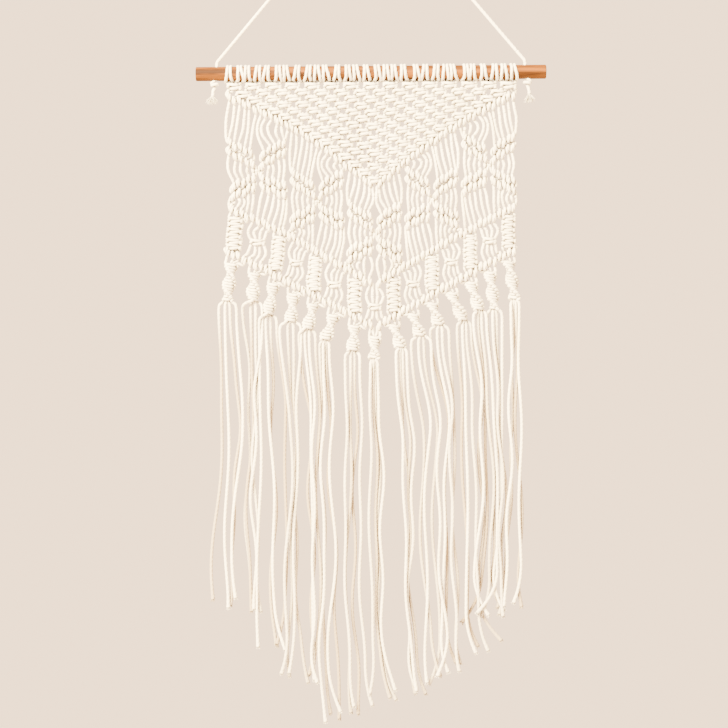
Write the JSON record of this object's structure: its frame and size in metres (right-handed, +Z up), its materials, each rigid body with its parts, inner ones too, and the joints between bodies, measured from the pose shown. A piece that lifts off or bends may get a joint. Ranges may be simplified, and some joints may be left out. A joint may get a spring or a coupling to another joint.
{
  "type": "macrame wall hanging",
  "caption": "Macrame wall hanging: a wooden dowel on a hanging cord carries a knotted cotton panel with chevrons and crosses, and spiral-topped tassels that end in a long pointed fringe.",
  "frame": {"origin": "where the underside of the hanging cord rests on its hook, at the top of the loop, in the plane of the panel", "axes": "+Z up, +X to the right along the dowel, +Y back towards the wall, so the front faces -Y"},
  "size_m": [0.35, 0.0218, 0.8335],
  "materials": {
    "dowel_wood": "sanded bare pine with a clear warm oil",
    "hanging_cotton": "matte twisted natural cotton cord",
    "knotted_cotton": "matte twisted natural cotton cord, knotted tight",
    "fringe_cotton": "matte twisted natural cotton cord with frayed ends"
  },
  "bodies": {
    "hanger": {"hanging_cord": "hanging_cotton"},
    "dowel": {"dowel": "dowel_wood", "stop_knot_left": "hanging_cotton", "stop_knot_right": "hanging_cotton"},
    "panel": {"cross_1": "knotted_cotton", "cross_2": "knotted_cotton", "cross_3": "knotted_cotton", "cross_4": "knotted_cotton", "cross_5": "knotted_cotton", "gathered_strands_1": "knotted_cotton", "gathered_strands_2": "knotted_cotton", "gathered_strands_3": "knotted_cotton", "gathered_strands_4": "knotted_cotton", "gathered_strands_5": "knotted_cotton", "gathered_strands_6": "knotted_cotton", "gathered_strands_7": "knotted_cotton", "larks_heads_01": "knotted_cotton", "larks_heads_02": "knotted_cotton", "larks_heads_03": "knotted_cotton", "larks_heads_04": "knotted_cotton", "larks_heads_05": "knotted_cotton", "larks_heads_06": "knotted_cotton", "larks_heads_07": "knotted_cotton", "larks_heads_08": "knotted_cotton", "larks_heads_09": "knotted_cotton", "larks_heads_10": "knotted_cotton", "larks_heads_11": "knotted_cotton", "larks_heads_12": "knotted_cotton", "larks_heads_13": "knotted_cotton", "larks_heads_14": "knotted_cotton", "larks_heads_15": "knotted_cotton", "lower_chevron": "knotted_cotton", "middle_chevron": "knotted_cotton", "square_knot_net": "knotted_cotton", "square_sinnet_1": "knotted_cotton", "square_sinnet_2": "knotted_cotton", "square_sinnet_3": "knotted_cotton", "square_sinnet_4": "knotted_cotton", "square_sinnet_5": "knotted_cotton", "square_sinnet_6": "knotted_cotton", "square_sinnet_7": "knotted_cotton", "square_sinnet_8": "knotted_cotton", "upper_chevron": "knotted_cotton"},
    "tassel_01": {"tassel_01": "fringe_cotton"},
    "tassel_02": {"tassel_02": "fringe_cotton"},
    "tassel_03": {"tassel_03": "fringe_cotton"},
    "tassel_04": {"tassel_04": "fringe_cotton"},
    "tassel_05": {"tassel_05": "fringe_cotton"},
    "tassel_06": {"tassel_06": "fringe_cotton"},
    "tassel_07": {"tassel_07": "fringe_cotton"},
    "tassel_08": {"tassel_08": "fringe_cotton"},
    "tassel_09": {"tassel_09": "fringe_cotton"},
    "tassel_10": {"tassel_10": "fringe_cotton"},
    "tassel_11": {"tassel_11": "fringe_cotton"},
    "tassel_12": {"tassel_12": "fringe_cotton"},
    "tassel_13": {"tassel_13": "fringe_cotton"},
    "tassel_14": {"tassel_14": "fringe_cotton"},
    "tassel_15": {"tassel_15": "fringe_cotton"}
  },
  "joints": [
    {"name": "hanger_fold", "type": "hinge", "parent": "hanger", "child": "dowel", "pos_m": [0, 0, -0.1735], "axis": [1, 0, 0], "range_deg": [-60, 60]},
    {"name": "panel_swing", "type": "hinge", "parent": "dowel", "child": "panel", "pos_m": [0, 0, -0.183], "axis": [1, 0, 0], "range_deg": [-45, 45]},
    {"name": "tassel_01_swing", "type": "hinge", "parent": "panel", "child": "tassel_01", "pos_m": [-0.1372, 0, -0.37069], "axis": [1, 0, 0], "range_deg": [-50, 50]},
    {"name": "tassel_02_swing", "type": "hinge", "parent": "panel", "child": "tassel_02", "pos_m": [-0.1176, 0, -0.38064], "axis": [1, 0, 0], "range_deg": [-50, 50]},
    {"name": "tassel_03_swing", "type": "hinge", "parent": "panel", "child": "tassel_03", "pos_m": [-0.098, 0, -0.39081], "axis": [1, 0, 0], "range_deg": [-50, 50]},
    {"name": "tassel_04_swing", "type": "hinge", "parent": "panel", "child": "tassel_04", "pos_m": [-0.0784, 0, -0.4012], "axis": [1, 0, 0], "range_deg": [-50, 50]},
    {"name": "tassel_05_swing", "type": "hinge", "parent": "panel", "child": "tassel_05", "pos_m": [-0.0588, 0, -0.4118], "axis": [1, 0, 0], "range_deg": [-50, 50]},
    {"name": "tassel_06_swing", "type": "hinge", "parent": "panel", "child": "tassel_06", "pos_m": [-0.0392, 0, -0.42261], "axis": [1, 0, 0], "range_deg": [-50, 50]},
    {"name": "tassel_07_swing", "type": "hinge", "parent": "panel", "child": "tassel_07", "pos_m": [-0.0196, 0, -0.43363], "axis": [1, 0, 0], "range_deg": [-50, 50]},
    {"name": "tassel_08_swing", "type": "hinge", "parent": "panel", "child": "tassel_08", "pos_m": [0, 0, -0.44455], "axis": [1, 0, 0], "range_deg": [-50, 50]},
    {"name": "tassel_09_swing", "type": "hinge", "parent": "panel", "child": "tassel_09", "pos_m": [0.0196, 0, -0.43363], "axis": [1, 0, 0], "range_deg": [-50, 50]},
    {"name": "tassel_10_swing", "type": "hinge", "parent": "panel", "child": "tassel_10", "pos_m": [0.0392, 0, -0.42261], "axis": [1, 0, 0], "range_deg": [-50, 50]},
    {"name": "tassel_11_swing", "type": "hinge", "parent": "panel", "child": "tassel_11", "pos_m": [0.0588, 0, -0.4118], "axis": [1, 0, 0], "range_deg": [-50, 50]},
    {"name": "tassel_12_swing", "type": "hinge", "parent": "panel", "child": "tassel_12", "pos_m": [0.0784, 0, -0.4012], "axis": [1, 0, 0], "range_deg": [-50, 50]},
    {"name": "tassel_13_swing", "type": "hinge", "parent": "panel", "child": "tassel_13", "pos_m": [0.098, 0, -0.39081], "axis": [1, 0, 0], "range_deg": [-50, 50]},
    {"name": "tassel_14_swing", "type": "hinge", "parent": "panel", "child": "tassel_14", "pos_m": [0.1176, 0, -0.38064], "axis": [1, 0, 0], "range_deg": [-50, 50]},
    {"name": "tassel_15_swing", "type": "hinge", "parent": "panel", "child": "tassel_15", "pos_m": [0.1372, 0, -0.37069], "axis": [1, 0, 0], "range_deg": [-50, 50]}
  ]
}
